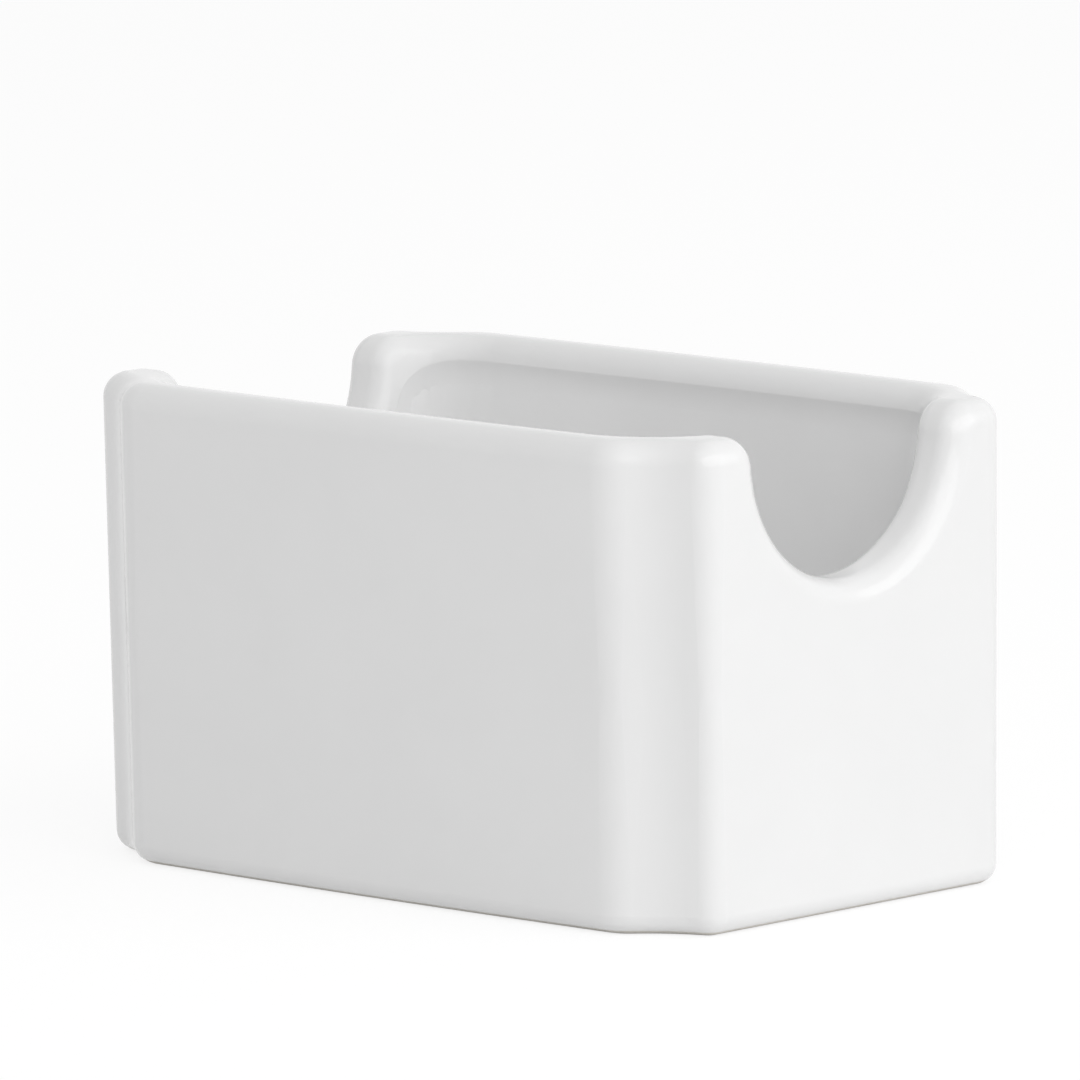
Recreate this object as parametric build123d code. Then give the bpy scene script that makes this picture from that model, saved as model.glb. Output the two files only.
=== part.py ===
from build123d import *
import os
from math import acos, cos, degrees, radians, sin, sqrt, tan

# Sugar packet holder: an open porcelain box with a half-round finger notch in each end wall.
# Millimetres and degrees. The origin is on the table under the middle of the box, +Z is up,
# the long walls face -Y and +Y, and the notched end walls face -X and +X.
# Sizes are those of the finished, glazed piece.

# Overall size, measured at the rim
length = 108.0
width = 69.0
height = 62.0
draft = 0.65  # each wall leans outwards by this angle, from the table to the rim
side_turn = 1.7  # a long wall is slightly bowed: it turns this far between its middle and its corner

# Upright corner, an S in plan: a shoulder on the long wall, a hollow scoop, a shoulder on the end wall
side_shoulder_radius = 6.8
side_shoulder_turn = 43.8
scoop_radius = 16.3
scoop_turn = 28.0
end_shoulder_radius = 3.8

# Well for the packets. It narrows towards its floor, so the walls are thinnest at the rim.
wall = 5.7  # at the rim
well_draft = 5.0
well_corner_radius = 12.8  # upright corner, at the rim
floor_top = 6.5  # height of the inside floor above the table
well_floor_rounding = 5.0

# Rim and table edge. The rim is rolled: inside the well it stands proud of the wall as a bead.
rim_bead = 0.8
rim_bead_height = 3.6
rim_bead_rounding = 0.5  # under the bead
rim_bead_shoulder_radius = 7.0  # where the lower edge of the bead turns down along a notch
rim_outer_rounding = 3.2
rim_inner_rounding = 2.9
rim_land = 0.2  # least flat strip left along the crown of the rim
table_edge_rounding = 2.0

# Finger notch: a half round that opens out through rounded shoulders into the rim
notch_radius = 17.6
notch_centre_drop = 2.4  # from the rim down to the centre of the half round
notch_shoulder_radius = 4.2

# Underside: a shallow recess leaves a foot ring to stand on
recess_depth = 1.5
recess_inset = 6.0  # from the foot of the walls in to the recess
recess_corner_radius = 8.0
recess_rounding = 1.0

# Glaze
glaze = 0.3
bare_foot_height = 0.6  # the glaze is wiped off up to here

# How far a cutting tool stands clear of what it cuts
overrun = 5.0


def lean(z, angle):
    """How far a wall that leans by an angle has moved in at height z, measured from the rim."""
    return (height - z) * tan(radians(angle))


def scooped_corner():
    """The arcs of an outer corner, from the long wall to the end wall, as pairs of radius and turn."""
    end_shoulder_turn = 90 - side_turn - side_shoulder_turn + scoop_turn
    return [
        (side_shoulder_radius, side_shoulder_turn),
        (-scoop_radius, -scoop_turn),
        (end_shoulder_radius, end_shoulder_turn),
    ]


def round_corner(radius):
    """The single arc of a plain corner, from the long wall to the end wall."""
    return [(radius, 90 - side_turn)]


def tangent_arcs(start, heading, arcs):
    """A chain of arcs, each leaving where the one before it ends. A negative turn goes clockwise."""
    chain = []
    for radius, turn in arcs:
        tangent = (cos(radians(heading)), sin(radians(heading)), 0)
        chain.append(JernArc(start, tangent, abs(radius), turn))
        start = chain[-1] @ 1
        heading += turn
    return chain


def plan(long, short, corner, inset, z):
    """Face at height z with bowed long walls, straight end walls and given corners, moved in by inset."""
    moved = [(radius - inset, turn) for radius, turn in corner]
    heading = side_turn
    corner_reach = 0.0
    for radius, turn in moved:
        corner_reach += radius * (sin(radians(heading + turn)) - sin(radians(heading)))
        heading += turn
    wall_reach = long / 2 - inset - corner_reach
    side_radius = wall_reach / sin(radians(side_turn))
    bow = side_radius * (1 - cos(radians(side_turn)))
    near_start = Vector(-wall_reach, inset - short / 2 + bow, z)
    near = tangent_arcs(near_start, -side_turn, [(side_radius, 2 * side_turn)] + moved)
    end_start = near[-1] @ 1
    end_stop = Vector(end_start.X, -end_start.Y, z)
    half = near + [Line(end_start, end_stop)] + tangent_arcs(end_stop, 90, moved[::-1])
    return make_face(Wire(half + [edge.rotate(Axis.Z, 180) for edge in half]))


def box_outside(skin):
    """The solid outside of the box, skin below the finished surface, taller than its rim."""
    top = height + overrun
    low = plan(length, width, scooped_corner(), lean(0, draft) + skin, 0)
    high = plan(length, width, scooped_corner(), lean(top, draft) + skin, top)
    block = loft([low, high], ruled=True)
    return fillet(block.faces().sort_by(Axis.Z)[0].edges(), table_edge_rounding - skin)


def above_line(drop, shoulder):
    """What lies above a line, drop below the rim, that dips over shoulders round the notches."""
    radius = notch_radius + drop
    between = radius + shoulder
    lift = drop + shoulder - notch_centre_drop
    shoulder_y = sqrt(between**2 - lift**2)
    turn = degrees(acos(lift / between))
    start = (-shoulder_y, -drop)
    dip = tangent_arcs(start, 0, [(shoulder, -turn), (radius, 2 * turn), (shoulder, -turn)])
    reach = width / 2 + overrun
    top = 3 * overrun
    frame = Polyline(dip[-1] @ 1, (reach, -drop), (reach, top), (-reach, top), (-reach, -drop), start)
    profile = make_face(Wire(dip + frame.edges()))
    bar = extrude(Plane.YZ * profile, length / 2 + overrun, both=True)
    return Pos(0, 0, height) * bar


def above_rim(skin):
    """What the flat rim and its half-round notches leave open."""
    return above_line(skin, notch_shoulder_radius - skin)


def above_bead_edge(skin):
    """What lies above the lower edge of the bead, on every wall."""
    return above_line(rim_bead_height - skin, rim_bead_shoulder_radius + skin)


def inside(narrowing, floor, skin):
    """The tapering space between the walls from a floor upwards, skin larger than the finished surface."""
    top = height + 2 * overrun
    mouth = (length - 2 * wall, width - 2 * wall, round_corner(well_corner_radius))
    low = plan(*mouth, lean(floor, well_draft) + narrowing - skin, floor)
    high = plan(*mouth, lean(top, well_draft) + narrowing - skin, top)
    return loft([low, high], ruled=True)


def throat_floor():
    """A height clear below the bead, which is lowest under the middle of a notch."""
    return height - notch_centre_drop - notch_radius - rim_bead_height - overrun


def throat(skin):
    """The upper part of the space inside, as narrow as the bead leaves it."""
    return inside(rim_bead, throat_floor(), skin)


def well(skin):
    """The space for packets, up to the lower edge of the bead, with a rounded edge to its floor."""
    space = inside(0, floor_top - skin, skin)
    space = fillet(space.faces().sort_by(Axis.Z)[0].edges(), well_floor_rounding + skin)
    return space - above_bead_edge(skin)


def recess(skin):
    """The shallow hollow under the floor that leaves the foot ring."""
    around = recess_inset + lean(0, draft)
    corner = round_corner(recess_corner_radius)
    low = plan(length - 2 * around, width - 2 * around, corner, -skin, -overrun)
    block = extrude(low, recess_depth + skin + overrun, dir=(0, 0, 1))
    return fillet(block.faces().sort_by(Axis.Z)[-1].edges(), recess_rounding + skin)


def rim_edges(vessel):
    """Edges along the crown of the rim and round the notches. The walls' upright seams are left out."""
    curved = vessel.edges().filter_by(GeomType.LINE, reverse=True)
    along_ends = vessel.edges().filter_by(Axis.Y)
    lowest = throat_floor() + overrun
    return (curved + along_ends).filter_by(lambda edge: (edge @ 0.5).Z > lowest)


def is_inner(edge):
    """Whether an edge lies on the well's side of the strip along the crown of the rim."""
    middle = edge @ 0.5
    inset = rim_outer_rounding + rim_land / 2 + lean(middle.Z, draft)
    crown = plan(length, width, scooped_corner(), inset, 0)
    return crown.is_inside((middle.X, middle.Y, 0))


def least_wall():
    """The thinnest place of the wall at the rim, which may be behind a scoop."""
    outside = plan(length, width, scooped_corner(), 0, 0).wire()
    mouth = plan(length - 2 * wall, width - 2 * wall, round_corner(well_corner_radius), rim_bead, 0).wire()
    return outside.distance_to(mouth)


def vessel_shape(skin):
    """The whole box, with every face skin below the finished surface except the foot's standing face."""
    vessel = box_outside(skin) - throat(skin) - above_rim(skin) - recess(skin)
    room = min(least_wall() - rim_outer_rounding - rim_land, rim_bead_height - rim_bead_rounding)
    inner = rim_edges(vessel).filter_by(is_inner)
    vessel = fillet(inner, min(rim_inner_rounding, room) - skin)
    outer = rim_edges(vessel).filter_by(lambda edge: not is_inner(edge))
    vessel = fillet(outer, rim_outer_rounding - skin)
    space = well(skin)
    hollowed = vessel - space
    return fillet(new_edges(vessel, space, combined=hollowed), rim_bead_rounding - skin)


def glaze_layers(finished, body):
    """The coat between the body and the finished surface, wiped off the foot, which parts it in two."""
    depth = bare_foot_height + overrun
    wiped = Pos(0, 0, bare_foot_height - depth / 2) * Box(2 * length, 2 * width, depth)
    return (finished - wiped - body).solids().sort_by(Axis.Z)


finished = vessel_shape(0)
porcelain_body = vessel_shape(glaze)
underside_glaze, glaze_coat = glaze_layers(finished, porcelain_body)

os.makedirs("parts", exist_ok=True)
export_step(porcelain_body, "parts/porcelain_body.step")
export_step(glaze_coat, "parts/glaze_coat.step")
export_step(underside_glaze, "parts/underside_glaze.step")
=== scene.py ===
# %% [markdown]
# # Sugar packet holder
# A small white porcelain box that stands on a cafe table and holds sugar packets on edge. It is
# one moulded piece of fired clay under a glossy, glassy glaze. The engineering model gives the
# exact solids, and this lesson gives them their finish, two soft forms that the solids lack, a
# floor, soft light and a camera.

from math import asin, cos, radians, sin, sqrt, tan

import bmesh
import bpy
from mathutils import Matrix, Vector


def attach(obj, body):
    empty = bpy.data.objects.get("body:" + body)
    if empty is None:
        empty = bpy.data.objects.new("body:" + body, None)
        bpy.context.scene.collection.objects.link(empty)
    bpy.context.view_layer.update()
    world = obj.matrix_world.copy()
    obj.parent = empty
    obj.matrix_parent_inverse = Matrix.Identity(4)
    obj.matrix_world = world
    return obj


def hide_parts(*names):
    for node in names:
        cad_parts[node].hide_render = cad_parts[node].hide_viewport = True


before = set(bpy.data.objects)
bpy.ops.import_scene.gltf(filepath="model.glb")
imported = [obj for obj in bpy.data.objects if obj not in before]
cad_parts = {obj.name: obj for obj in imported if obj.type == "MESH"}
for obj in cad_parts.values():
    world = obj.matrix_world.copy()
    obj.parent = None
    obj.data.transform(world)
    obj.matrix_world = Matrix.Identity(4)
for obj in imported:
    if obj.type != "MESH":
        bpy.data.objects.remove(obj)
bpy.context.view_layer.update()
MM = 0.001


print("nodes:", sorted(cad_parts))

# %% [markdown]
# ## The camera
# The picture was taken with a long lens, almost level with the box and looking at one upright
# corner. A long lens keeps parallel edges nearly parallel. The angles below turn a camera about
# the middle of the box, and the aim is a little above that middle because the box stands low in
# the picture.

# %% Set the camera
VIEW_TURN = 44.152
VIEW_RISE = 8.710
VIEW_ROLL = -0.844
VIEW_DISTANCE = 1855 * MM
FARTHEST_SEEN = 10.0
LENS = 486.8
SENSOR = 36.0
MIDDLE = Vector((0, 0, 31.1 * MM))
AIM_RIGHT = -1.146 * MM
AIM_UP = 10.748 * MM


def view_axes(turn, rise, roll):
    """Right, up and backward axes of a camera turned about Z, raised, and rolled as it looks."""
    a, e, r = radians(turn), radians(rise), radians(roll)
    right = Vector((cos(a), sin(a), 0))
    up = Vector((-sin(a) * sin(e), cos(a) * sin(e), cos(e)))
    back = Vector((sin(a) * cos(e), -cos(a) * cos(e), sin(e)))
    return right * cos(r) + up * sin(r), up * cos(r) - right * sin(r), back


right, up, back = view_axes(VIEW_TURN, VIEW_RISE, VIEW_ROLL)
eye = MIDDLE + back * VIEW_DISTANCE
aim = MIDDLE + right * AIM_RIGHT + up * AIM_UP
back = (eye - aim).normalized()
right = up.cross(back).normalized()
up = back.cross(right)

camera = bpy.data.objects.new("camera", bpy.data.cameras.new("camera"))
camera.data.lens = LENS
camera.data.sensor_width = SENSOR
camera.data.sensor_fit = "HORIZONTAL"
camera.data.clip_end = FARTHEST_SEEN
camera.matrix_world = Matrix((
    (right.x, up.x, back.x, eye.x),
    (right.y, up.y, back.y, eye.y),
    (right.z, up.z, back.z, eye.z),
    (0, 0, 0, 1),
))
bpy.context.scene.collection.objects.link(camera)
bpy.context.scene.camera = camera
print("camera at", [round(value, 3) for value in eye])

# %% [markdown]
# ## Colours and nodes
# Screen colours are written as hex values, and a shader wants linear light, so one function
# converts them. A second function adds a node with its settings and links, which keeps the
# materials short. A third starts a material with the shader that nearly every finish uses.

# %% Helpers for materials
WHITE = "#ffffff"


def linear(hex_colour):
    """Linear RGBA of an sRGB hex colour."""
    channels = [int(hex_colour[i:i + 2], 16) / 255 for i in (1, 3, 5)]
    return [c / 12.92 if c <= 0.04045 else ((c + 0.055) / 1.055) ** 2.4 for c in channels] + [1.0]


def add_node(tree, kind, settings=None, inputs=None):
    """Adds a node of a kind, sets its properties and fills its inputs with values or links."""
    node = tree.nodes.new(kind)
    for name, value in (settings or {}).items():
        setattr(node, name, value)
    for name, value in (inputs or {}).items():
        if isinstance(value, bpy.types.NodeSocket):
            tree.links.new(value, node.inputs[name])
        else:
            node.inputs[name].default_value = value
    return node


def new_material(name):
    """A node material, its tree and its Principled shader, which is linked to the output."""
    material = bpy.data.materials.new(name)
    material.use_nodes = True
    tree = material.node_tree
    tree.nodes.clear()
    shader = add_node(tree, "ShaderNodeBsdfPrincipled")
    add_node(tree, "ShaderNodeOutputMaterial", inputs={"Surface": shader.outputs["BSDF"]})
    return material, tree, shader


print("white in linear light:", [round(value, 3) for value in linear(WHITE)])

# %% [markdown]
# ## Glazed porcelain: colour
# The box is dipped in a milky slip of ground glass and fired until that melts. The result is a
# layer of clear glass, about 0.3 mm thick, over white clay. The eye sees a white that is hardly
# ever one white: where the glaze ran a little thicker it is a shade greyer. Two close whites are
# mixed by a broad, soft noise. The noise reads Object coordinates, which are metres here, so a
# pattern that repeats every so many millimetres has a scale of a metre divided by that length.

# %% Colour of the glaze
GLAZE_THIN = "#f3f3f3"
GLAZE_THICK = "#efefef"
MOTTLE_MM = 14
MIX_SHARE, MIX_A, MIX_B, MIX_RESULT = 0, 6, 7, 2  # names are shared by several sockets of a Mix


def scale_of(millimetres):
    """Noise scale of a pattern that repeats every so many millimetres."""
    return 1 / (millimetres * MM)


glaze_material, tree, shader = new_material("white_porcelain_glaze")
place = add_node(tree, "ShaderNodeTexCoord").outputs["Object"]
mottle = add_node(tree, "ShaderNodeTexNoise", inputs={
    "Vector": place,
    "Scale": scale_of(MOTTLE_MM),
})
whites = add_node(tree, "ShaderNodeMix", {"data_type": "RGBA"}, {
    MIX_SHARE: mottle.outputs[0],
    MIX_A: linear(GLAZE_THIN),
    MIX_B: linear(GLAZE_THICK),
})
tree.links.new(whites.outputs[MIX_RESULT], shader.inputs["Base Color"])
print("mottle scale", round(scale_of(MOTTLE_MM), 1), "per metre")

# %% [markdown]
# ## Glazed porcelain: gloss
# Molten glaze pulls itself smooth, so it is nearly a mirror, with the IOR of glass. It is not
# quite even: kiln vapour and washing leave some areas a little duller than others. A noise drives
# the roughness between a well polished and a slightly hazy value, which breaks up the edges of a
# highlight.

# %% Gloss of the glaze
GLASS_IOR = 1.5
GLOSS_RANGE = (0.11, 0.19)
HAZE_MM, HAZE_DETAIL = 8, 3.0
NOISE_LOW, NOISE_HIGH = 0.3, 0.7  # nearly all of a noise lies between these

shader.inputs["IOR"].default_value = GLASS_IOR
haze = add_node(tree, "ShaderNodeTexNoise", inputs={
    "Vector": place,
    "Scale": scale_of(HAZE_MM),
    "Detail": HAZE_DETAIL,
})
gloss = add_node(tree, "ShaderNodeMapRange", inputs={
    "Value": haze.outputs[0],
    "From Min": NOISE_LOW,
    "From Max": NOISE_HIGH,
    "To Min": GLOSS_RANGE[0],
    "To Max": GLOSS_RANGE[1],
})
tree.links.new(gloss.outputs[0], shader.inputs["Roughness"])
print("roughness from", GLOSS_RANGE[0], "to", GLOSS_RANGE[1])

# %% [markdown]
# ## Glazed porcelain: waves and orange peel
# Two kinds of unevenness are left in a fired glaze. Slow waves, several millimetres wide and a few
# hundredths deep, come from the clay beneath and from the dipping. A fine orange peel comes from
# the last bubbles that rose through the melt. Both are too shallow to model as mesh, and only bend
# reflections, so they are bump: the Distance of a Bump node is the real height of its pattern in
# metres.

# %% Relief of the glaze
WAVE_MM, WAVE_DETAIL, WAVE_HEIGHT = 11, 0.0, 0.035 * MM
PEEL_MM, PEEL_DETAIL, PEEL_HEIGHT = 1.5, 1.0, 0.003 * MM

wave = add_node(tree, "ShaderNodeTexNoise", inputs={
    "Vector": place,
    "Scale": scale_of(WAVE_MM),
    "Detail": WAVE_DETAIL,
})
waves = add_node(tree, "ShaderNodeBump", inputs={
    "Distance": WAVE_HEIGHT,
    "Height": wave.outputs[0],
})
peel = add_node(tree, "ShaderNodeTexNoise", inputs={
    "Vector": place,
    "Scale": scale_of(PEEL_MM),
    "Detail": PEEL_DETAIL,
})
relief = add_node(tree, "ShaderNodeBump", inputs={
    "Distance": PEEL_HEIGHT,
    "Height": peel.outputs[0],
    "Normal": waves.outputs[0],
})
tree.links.new(relief.outputs[0], shader.inputs["Normal"])
print("waves", WAVE_MM, "mm wide, orange peel", PEEL_MM, "mm wide")

# %% [markdown]
# ## Bare fired clay: colour
# Glaze would stick the box to the kiln shelf, so it is wiped off the foot ring before firing. What
# shows there is biscuit porcelain: matt, a little creamier than the glaze, with a fine sandy grain
# that is felt more than seen, and faint smudges from the shelf. Both are noises, and their product
# mixes two close creams, so that a smudge darkens the grain and not the whole surface. The real
# grain is finer than a tenth of a millimetre, and it is drawn as coarse as it needs to show.

# %% Colour of the biscuit porcelain
BISCUIT_PALE = "#e8e5df"
BISCUIT_DARK = "#dcd8d0"
GRAIN_MM, GRAIN_DETAIL = 0.5, 2.0
SMUDGE_MM, SMUDGE_DETAIL = 7, 3.0
SMUDGE_HIGH = 0.5  # nearly all of the product of two noises lies below this
SMUDGE_SHARE = (0.0, 0.6)

biscuit_material, tree, shader = new_material("fired_biscuit_porcelain")
shader.inputs["IOR"].default_value = GLASS_IOR
place = add_node(tree, "ShaderNodeTexCoord").outputs["Object"]
grain = add_node(tree, "ShaderNodeTexNoise", inputs={
    "Vector": place,
    "Scale": scale_of(GRAIN_MM),
    "Detail": GRAIN_DETAIL,
})
smudge = add_node(tree, "ShaderNodeTexNoise", inputs={
    "Vector": place,
    "Scale": scale_of(SMUDGE_MM),
    "Detail": SMUDGE_DETAIL,
})
smudged_grain = add_node(tree, "ShaderNodeMath", {"operation": "MULTIPLY"}, {
    0: grain.outputs[0],
    1: smudge.outputs[0],
})
dark_share = add_node(tree, "ShaderNodeMapRange", inputs={
    "Value": smudged_grain.outputs[0],
    "From Max": SMUDGE_HIGH,
    "To Min": SMUDGE_SHARE[0],
    "To Max": SMUDGE_SHARE[1],
})
creams = add_node(tree, "ShaderNodeMix", {"data_type": "RGBA"}, {
    MIX_SHARE: dark_share.outputs[0],
    MIX_A: linear(BISCUIT_PALE),
    MIX_B: linear(BISCUIT_DARK),
})
tree.links.new(creams.outputs[MIX_RESULT], shader.inputs["Base Color"])
print("grain", GRAIN_MM, "mm, smudges", SMUDGE_MM, "mm")

# %% [markdown]
# ## Bare fired clay: surface
# Unglazed clay scatters light, so it has no highlight. The same grain makes it a little uneven in
# roughness and gives it the feel of very fine sandpaper, a few hundredths of a millimetre high.

# %% Surface of the biscuit porcelain
BISCUIT_ROUGHNESS = (0.7, 0.9)
GRAIN_HEIGHT = 0.02 * MM

dry = add_node(tree, "ShaderNodeMapRange", inputs={
    "Value": grain.outputs[0],
    "To Min": BISCUIT_ROUGHNESS[0],
    "To Max": BISCUIT_ROUGHNESS[1],
})
tree.links.new(dry.outputs[0], shader.inputs["Roughness"])
sandy = add_node(tree, "ShaderNodeBump", inputs={
    "Distance": GRAIN_HEIGHT,
    "Height": grain.outputs[0],
})
tree.links.new(sandy.outputs[0], shader.inputs["Normal"])
print("roughness from", BISCUIT_ROUGHNESS[0], "to", BISCUIT_ROUGHNESS[1])

# %% [markdown]
# ## Dressing the solids
# The solids have the moulded shape: scooped corners, a rolled rim and the finger notches. The clay
# body shows at the foot ring alone, and the glaze is in two pieces because the bare ring parts the
# coat on the walls from the patch under the floor. A solid is never moved and its mesh is never
# changed, so only the material slots are filled here.

# %% Finish of each solid
FINISHES = {
    "porcelain_body": biscuit_material,
    "glaze_coat": glaze_material,
    "underside_glaze": glaze_material,
}
for name, material in FINISHES.items():
    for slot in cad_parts[name].material_slots:
        slot.material = material
    print(name, "is", material.name)

# %% [markdown]
# ## A rounder table edge
# The edge that meets the table is rounded to 2 mm in the solids, and the real one is softer. Copies
# of the two outer solids get a larger rounding and stand for them. A rounding keeps its shape when
# it grows: each of its points stays at its share of the quarter turn from the wall to the table,
# and its upper border slides up the leaning wall. The clay keeps its distance below the glaze, and
# the glaze still ends at the bare strip of the foot, so its points are spread over a little more of
# the turn. A much larger rounding would fold over at the tight shoulders of the end walls.

# %% Move points to the larger rounding
OLD_ROUNDING, NEW_ROUNDING = 2.0 * MM, 2.7 * MM
GLAZE = 0.3 * MM  # thickness of the coat
BARE_FOOT = 0.6 * MM  # the glaze is wiped off up to here
WALL_LEAN = radians(0.65)


def edge_turn(z, radius):
    """How far a rounded table edge has turned from the wall towards the table at height z."""
    return asin(min(max(1 - z / radius, 0.0), 1.0))


def soften_edge(points, depth, lowest):
    """Moves points of the edge, at a depth below the finished surface, to the larger rounding."""
    old, new = OLD_ROUNDING - depth, NEW_ROUNDING - depth
    spread = edge_turn(lowest, new) / edge_turn(lowest, old)
    for point in points:
        turn = edge_turn(point.co.z, old)
        new_turn = turn * spread
        rise = new * (1 - sin(new_turn)) - point.co.z
        inward = new * (1 - cos(new_turn)) - old * (1 - cos(turn)) - rise * tan(WALL_LEAN)
        side = point.normal.xy.normalized()
        if side.dot(point.co.xy) < 0:
            side = -side
        point.co += Vector((-inward * side.x, -inward * side.y, rise))
    print(len(points), "points moved, depth", round(depth / MM, 1), "mm")


print("table edge from", round(OLD_ROUNDING / MM, 1), "to", round(NEW_ROUNDING / MM, 1), "mm")

# %% [markdown]
# A solid comes as loose triangles, so a copy is merged before it is changed. Flat walls and
# roundings meet without a crease on glazed ware. Smooth shading alone would bend the flat walls
# near their borders, so the normals are weighted by the size of the faces.

# %% Copies that stand for solids
MERGE = 0.001 * MM
CREASE = radians(35)  # faces that meet at a larger angle than this have a sharp edge


def merged_copy(node):
    """A copy of a solid with its loose triangles joined."""
    shape = bmesh.new()
    shape.from_mesh(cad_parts[node].data)
    bmesh.ops.remove_doubles(shape, verts=shape.verts, dist=MERGE)
    shape.normal_update()
    return shape


def add_object(name, shape, material):
    """An object with a finished shape and one material."""
    mesh = bpy.data.meshes.new(name)
    shape.to_mesh(mesh)
    shape.free()
    mesh.materials.append(material)
    thing = bpy.data.objects.new(name, mesh)
    bpy.context.scene.collection.objects.link(thing)
    print(name, "faces:", len(mesh.polygons))
    return thing


def add_copy(name, node, shape):
    """Shows a changed copy of a solid in its place, shaded evenly."""
    for edge in shape.edges:
        edge.smooth = edge.calc_face_angle() < CREASE
    for face in shape.faces:
        face.smooth = True
    piece = add_object(name, shape, FINISHES[node])
    shading = piece.modifiers.new("even_shading", "WEIGHTED_NORMAL")
    shading.keep_sharp = True
    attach(piece, "root")
    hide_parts(node)


print("corners closer than", round(MERGE / MM, 3), "mm are merged")

# %% [markdown]
# The coat has a surface on each side, the visible one and the one on the clay, and both are rounded
# further. The clay has only its outside changed: the recess under the floor looks inwards, and its
# ceiling looks straight down.

# %% Glaze and clay with the rounder edge
LEAST_OUTWARD = 0.001  # share of a normal, far below that of the flattest part of the edge


def low_points(shape):
    """The points of a shape that are as low as the old rounding."""
    return [point for point in shape.verts if point.co.z < OLD_ROUNDING]


def faces_out(point):
    """Whether the surface at a point looks away from the middle of the box."""
    return point.normal.xy.dot(point.co.xy.normalized()) > LEAST_OUTWARD


coat = merged_copy("glaze_coat")
outer = [point for point in low_points(coat) if faces_out(point)]
inner = [point for point in low_points(coat) if not faces_out(point)]
soften_edge(outer, 0.0, BARE_FOOT)
soften_edge(inner, GLAZE, BARE_FOOT)
add_copy("soft_edged_glaze", "glaze_coat", coat)

body = merged_copy("porcelain_body")
outer = [point for point in low_points(body) if faces_out(point)]
soften_edge(outer, GLAZE, 0.0)
add_copy("soft_edged_body", "porcelain_body", body)

# %% [markdown]
# ## Glaze pooled under the bead
# Inside the box the rolled rim stands proud of the wall as a bead. Molten glaze is drawn into the
# inside corner below it, as water is in the corner of a glass, and leaves a soft hollow there
# instead of a crease. The solids have the sharp corner, so a separate piece fills it. It could be
# swept along a curve, but the corner dips round both notches, so it starts from the corner's own
# edges: they are the only ones in the glaze coat where two faces meet in a sharp hollow. First
# those edges are found, with the directions in which the bead and the wall look beside them, and
# the rest of the copy is deleted.

# %% Find the corner under the bead
SHARP_HOLLOW = radians(60)

pool = merged_copy("glaze_coat")
away = pool.verts.layers.float_vector.new("away")
down = pool.verts.layers.float_vector.new("down")
corner = [edge for edge in pool.edges if edge.calc_face_angle_signed() < -SHARP_HOLLOW]
bead_normals, wall_normals = {}, {}
for edge in corner:
    for face in edge.link_faces:
        normals = bead_normals if face.normal.z < 0 else wall_normals
        for point in edge.verts:
            normals[point] = normals.get(point, Vector()) + face.normal
kept = set(corner)
others = [edge for edge in pool.edges if edge not in kept]
bmesh.ops.delete(pool, geom=pool.faces[:], context="FACES_ONLY")
bmesh.ops.delete(pool, geom=others, context="EDGES")
corner_length = sum(edge.calc_length() for edge in corner)
print("corner of", len(corner), "edges,", round(corner_length / MM), "mm round")

# %% [markdown]
# Each point keeps two directions, one straight away from the wall and one down it. It moves along
# the wall to the level of the middle of the bead's rounded edge. How far that is depends on the
# angle between the bead's underside and the wall, which changes where the corner dips.

# %% Level with the edge of the bead
BEAD = 0.8 * MM  # how far the bead stands out from the wall
BEAD_ROUNDING = 0.5 * MM  # radius of its lower edge

slants = []
for point in pool.verts:
    under, off = bead_normals[point].normalized(), wall_normals[point].normalized()
    slant = -under.dot(off)  # cosine of the angle between the bead's underside and the wall
    point[away] = off
    point[down] = (under + off * slant).normalized()
    level = ((BEAD - BEAD_ROUNDING) * slant - BEAD_ROUNDING) / sqrt(1 - slant**2)
    point.co += level * point[down]
    slants.append(slant)
print("slant from", round(min(slants), 2), "to", round(max(slants), 2))

# %% [markdown]
# The section of the pool is an arc. It leaves the rounded edge of the bead at an angle, bends back
# as it goes down and ends flush with the wall. It starts and ends at a point a little way inside
# the coat, which closes it behind the arc.

# %% Section of the pool
LEAVING_ANGLE = radians(25)
ARC_STEPS = 16
SUNK = 0.1 * MM

start_away = BEAD - BEAD_ROUNDING * (1 - cos(LEAVING_ANGLE))
start_down = BEAD_ROUNDING * sin(LEAVING_ANGLE)
arc_radius = start_away / (1 - cos(LEAVING_ANGLE))
behind = Vector((-SUNK, 0))
section = [behind]
for step in range(ARC_STEPS + 1):
    turn = LEAVING_ANGLE * (1 - step / ARC_STEPS)
    fall = arc_radius * (sin(LEAVING_ANGLE) - sin(turn))
    section.append(Vector((arc_radius * (1 - cos(turn)), start_down + fall)))
section.append(behind)
print("the pool reaches", round(section[-2].y / MM, 1), "mm down")

# %% [markdown]
# The corner's edges are extruded along that section, one short step after another, until they are
# back where they started. The two lines where the arc starts and ends stay sharp, so that the
# hidden back doesn't tilt the shading of the front.

# %% Fill the corner
def move_points(points, move):
    """Moves points by a pair of lengths, away from the wall and down it."""
    for point in points:
        point.co += move.x * point[away] + move.y * point[down]


move_points(pool.verts, behind)
line = corner
for step, (start, stop) in enumerate(zip(section, section[1:])):
    made = bmesh.ops.extrude_edge_only(pool, edges=line)["geom"]
    points = {item for item in made if isinstance(item, bmesh.types.BMVert)}
    line = [edge for edge in pool.edges if points.issuperset(edge.verts)]
    move_points(points, stop - start)
    for edge in line:
        edge.smooth = step not in (0, ARC_STEPS)
bmesh.ops.remove_doubles(pool, verts=pool.verts, dist=MERGE)
bmesh.ops.recalc_face_normals(pool, faces=pool.faces)
for face in pool.faces:
    face.smooth = True
open_edges = [edge for edge in pool.edges if len(edge.link_faces) != 2]
print("volume", round(pool.calc_volume() / MM**3), "mm3,", len(open_edges), "open edges")

# %% [markdown]
# The extrusion makes its faces in no fixed order. They are sorted along a slanted direction, in
# which no two of them are level, so that every run gives the same mesh.

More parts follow.
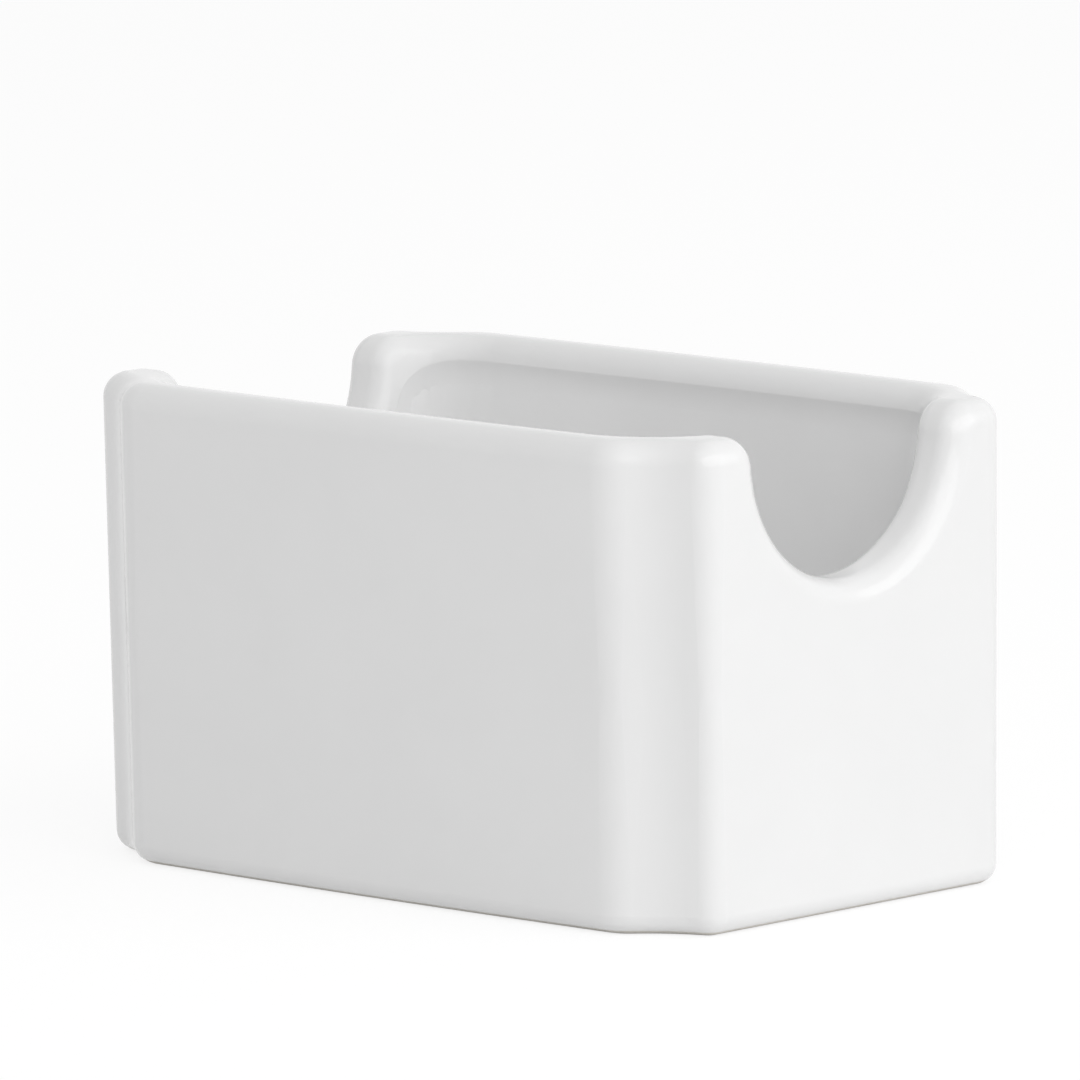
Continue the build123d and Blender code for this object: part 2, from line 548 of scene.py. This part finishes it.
# %% Add the pool to the holder
SLANTED = Vector((1.0, 0.37, 0.11))

for layer in (away, down):
    pool.verts.layers.float_vector.remove(layer)
pool.verts.sort(key=lambda point: point.co.dot(SLANTED))
pool.edges.sort(key=lambda edge: (edge.verts[0].co + edge.verts[1].co).dot(SLANTED))
pool.faces.sort(key=lambda face: face.calc_center_median().dot(SLANTED))
pooled_glaze = add_object("pooled_glaze", pool, glaze_material)
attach(pooled_glaze, "root")

# %% [markdown]
# ## Floor
# A product picture like this is taken on a sheet of white paper that runs out of view. Paper is
# matt and a little less than white. To the camera, and in reflections, most of it is plain white
# here, which a mix with an emission gives, and the part that is still lit keeps the soft shadow of
# the box.

# %% White paper
PAPER = "#eeeeee"
PAPER_ROUGHNESS = 0.9
WHITE_SHARE = 0.7
WHITE_STRENGTH = 1.13


def shown_rays(tree):
    """One for a ray that shows the background: from the camera, reflected or through glass."""
    path = add_node(tree, "ShaderNodeLightPath")
    direct = add_node(tree, "ShaderNodeMath", {"operation": "MAXIMUM"}, {
        0: path.outputs["Is Camera Ray"],
        1: path.outputs["Is Glossy Ray"],
    })
    every = add_node(tree, "ShaderNodeMath", {"operation": "MAXIMUM"}, {
        0: direct.outputs[0],
        1: path.outputs["Is Transmission Ray"],
    })
    return every.outputs[0]


paper_material, tree, shader = new_material("white_paper")
shader.inputs["Base Color"].default_value = linear(PAPER)
shader.inputs["Roughness"].default_value = PAPER_ROUGHNESS
white = add_node(tree, "ShaderNodeEmission", inputs={
    "Color": linear(WHITE),
    "Strength": WHITE_STRENGTH,
})
white_share = add_node(tree, "ShaderNodeMath", {"operation": "MULTIPLY"}, {
    0: shown_rays(tree),
    1: WHITE_SHARE,
})
mixed = add_node(tree, "ShaderNodeMixShader", inputs={
    0: white_share.outputs[0],
    1: shader.outputs["BSDF"],
    2: white.outputs[0],
})
tree.links.new(mixed.outputs[0], tree.get_output_node("ALL").inputs["Surface"])
print("paper,", round(100 * WHITE_SHARE), "percent of it plain white to the camera")

# %% [markdown]
# The floor is one large grid square at the height of the table. It isn't part of the object.

# %% Floor of white paper
FLOOR_REACH = 3.0

floor_shape = bmesh.new()
bmesh.ops.create_grid(floor_shape, x_segments=1, y_segments=1, size=FLOOR_REACH)
floor = add_object("floor", floor_shape, paper_material)
print("floor", 2 * FLOOR_REACH, "m across")

# %% [markdown]
# ## Light
# A light tent surrounds the box, so every wall gets some light and no shadow is hard. The world
# stands for the tent: one strength lights the object, another is what the camera and reflections
# see.

# %% Tent
TENT_LIGHT = 0.59
TENT_SEEN = 1.0

world = bpy.data.worlds.new("studio")
bpy.context.scene.world = world
world.use_nodes = True
tree = world.node_tree
tree.nodes.clear()
lit = add_node(tree, "ShaderNodeBackground", inputs={
    "Color": linear(WHITE),
    "Strength": TENT_LIGHT,
})
seen = add_node(tree, "ShaderNodeBackground", inputs={
    "Color": linear(WHITE),
    "Strength": TENT_SEEN,
})
both = add_node(tree, "ShaderNodeMixShader", inputs={
    0: shown_rays(tree),
    1: lit.outputs[0],
    2: seen.outputs[0],
})
add_node(tree, "ShaderNodeOutputWorld", inputs={"Surface": both.outputs[0]})
print("tent light", TENT_LIGHT)

# %% [markdown]
# A tent alone lights all walls alike, and the box would look flat. A wide soft box on the right,
# like a window, makes the end wall the brightest. Two weak fills open up the front and the inside.
# The Standard view shows colours as they are written.

# %% Soft boxes
LAMP_DISTANCE = 1.2


def soft_box(name, turn, rise, wide, tall, power):
    """A rectangular lamp that faces the middle of the box, from so many degrees round and up."""
    data = bpy.data.lights.new(name, "AREA")
    data.shape = "RECTANGLE"
    data.size = wide
    data.size_y = tall
    data.energy = power
    lamp = bpy.data.objects.new(name, data)
    a, e = radians(turn), radians(rise)
    outward = Vector((cos(e) * cos(a), cos(e) * sin(a), sin(e)))
    facing = (-outward).to_track_quat("-Z", "Y").to_matrix().to_4x4()
    lamp.matrix_world = Matrix.Translation(MIDDLE + outward * LAMP_DISTANCE) @ facing
    bpy.context.scene.collection.objects.link(lamp)
    print(name, power, "W")


soft_box("window_right", turn=0, rise=25, wide=2.4, tall=0.9, power=8.16)
soft_box("fill_camera", turn=-45, rise=45, wide=0.9, tall=0.9, power=0.86)
soft_box("fill_back", turn=90, rise=45, wide=0.9, tall=0.9, power=0.36)
bpy.context.scene.view_settings.view_transform = "Standard"
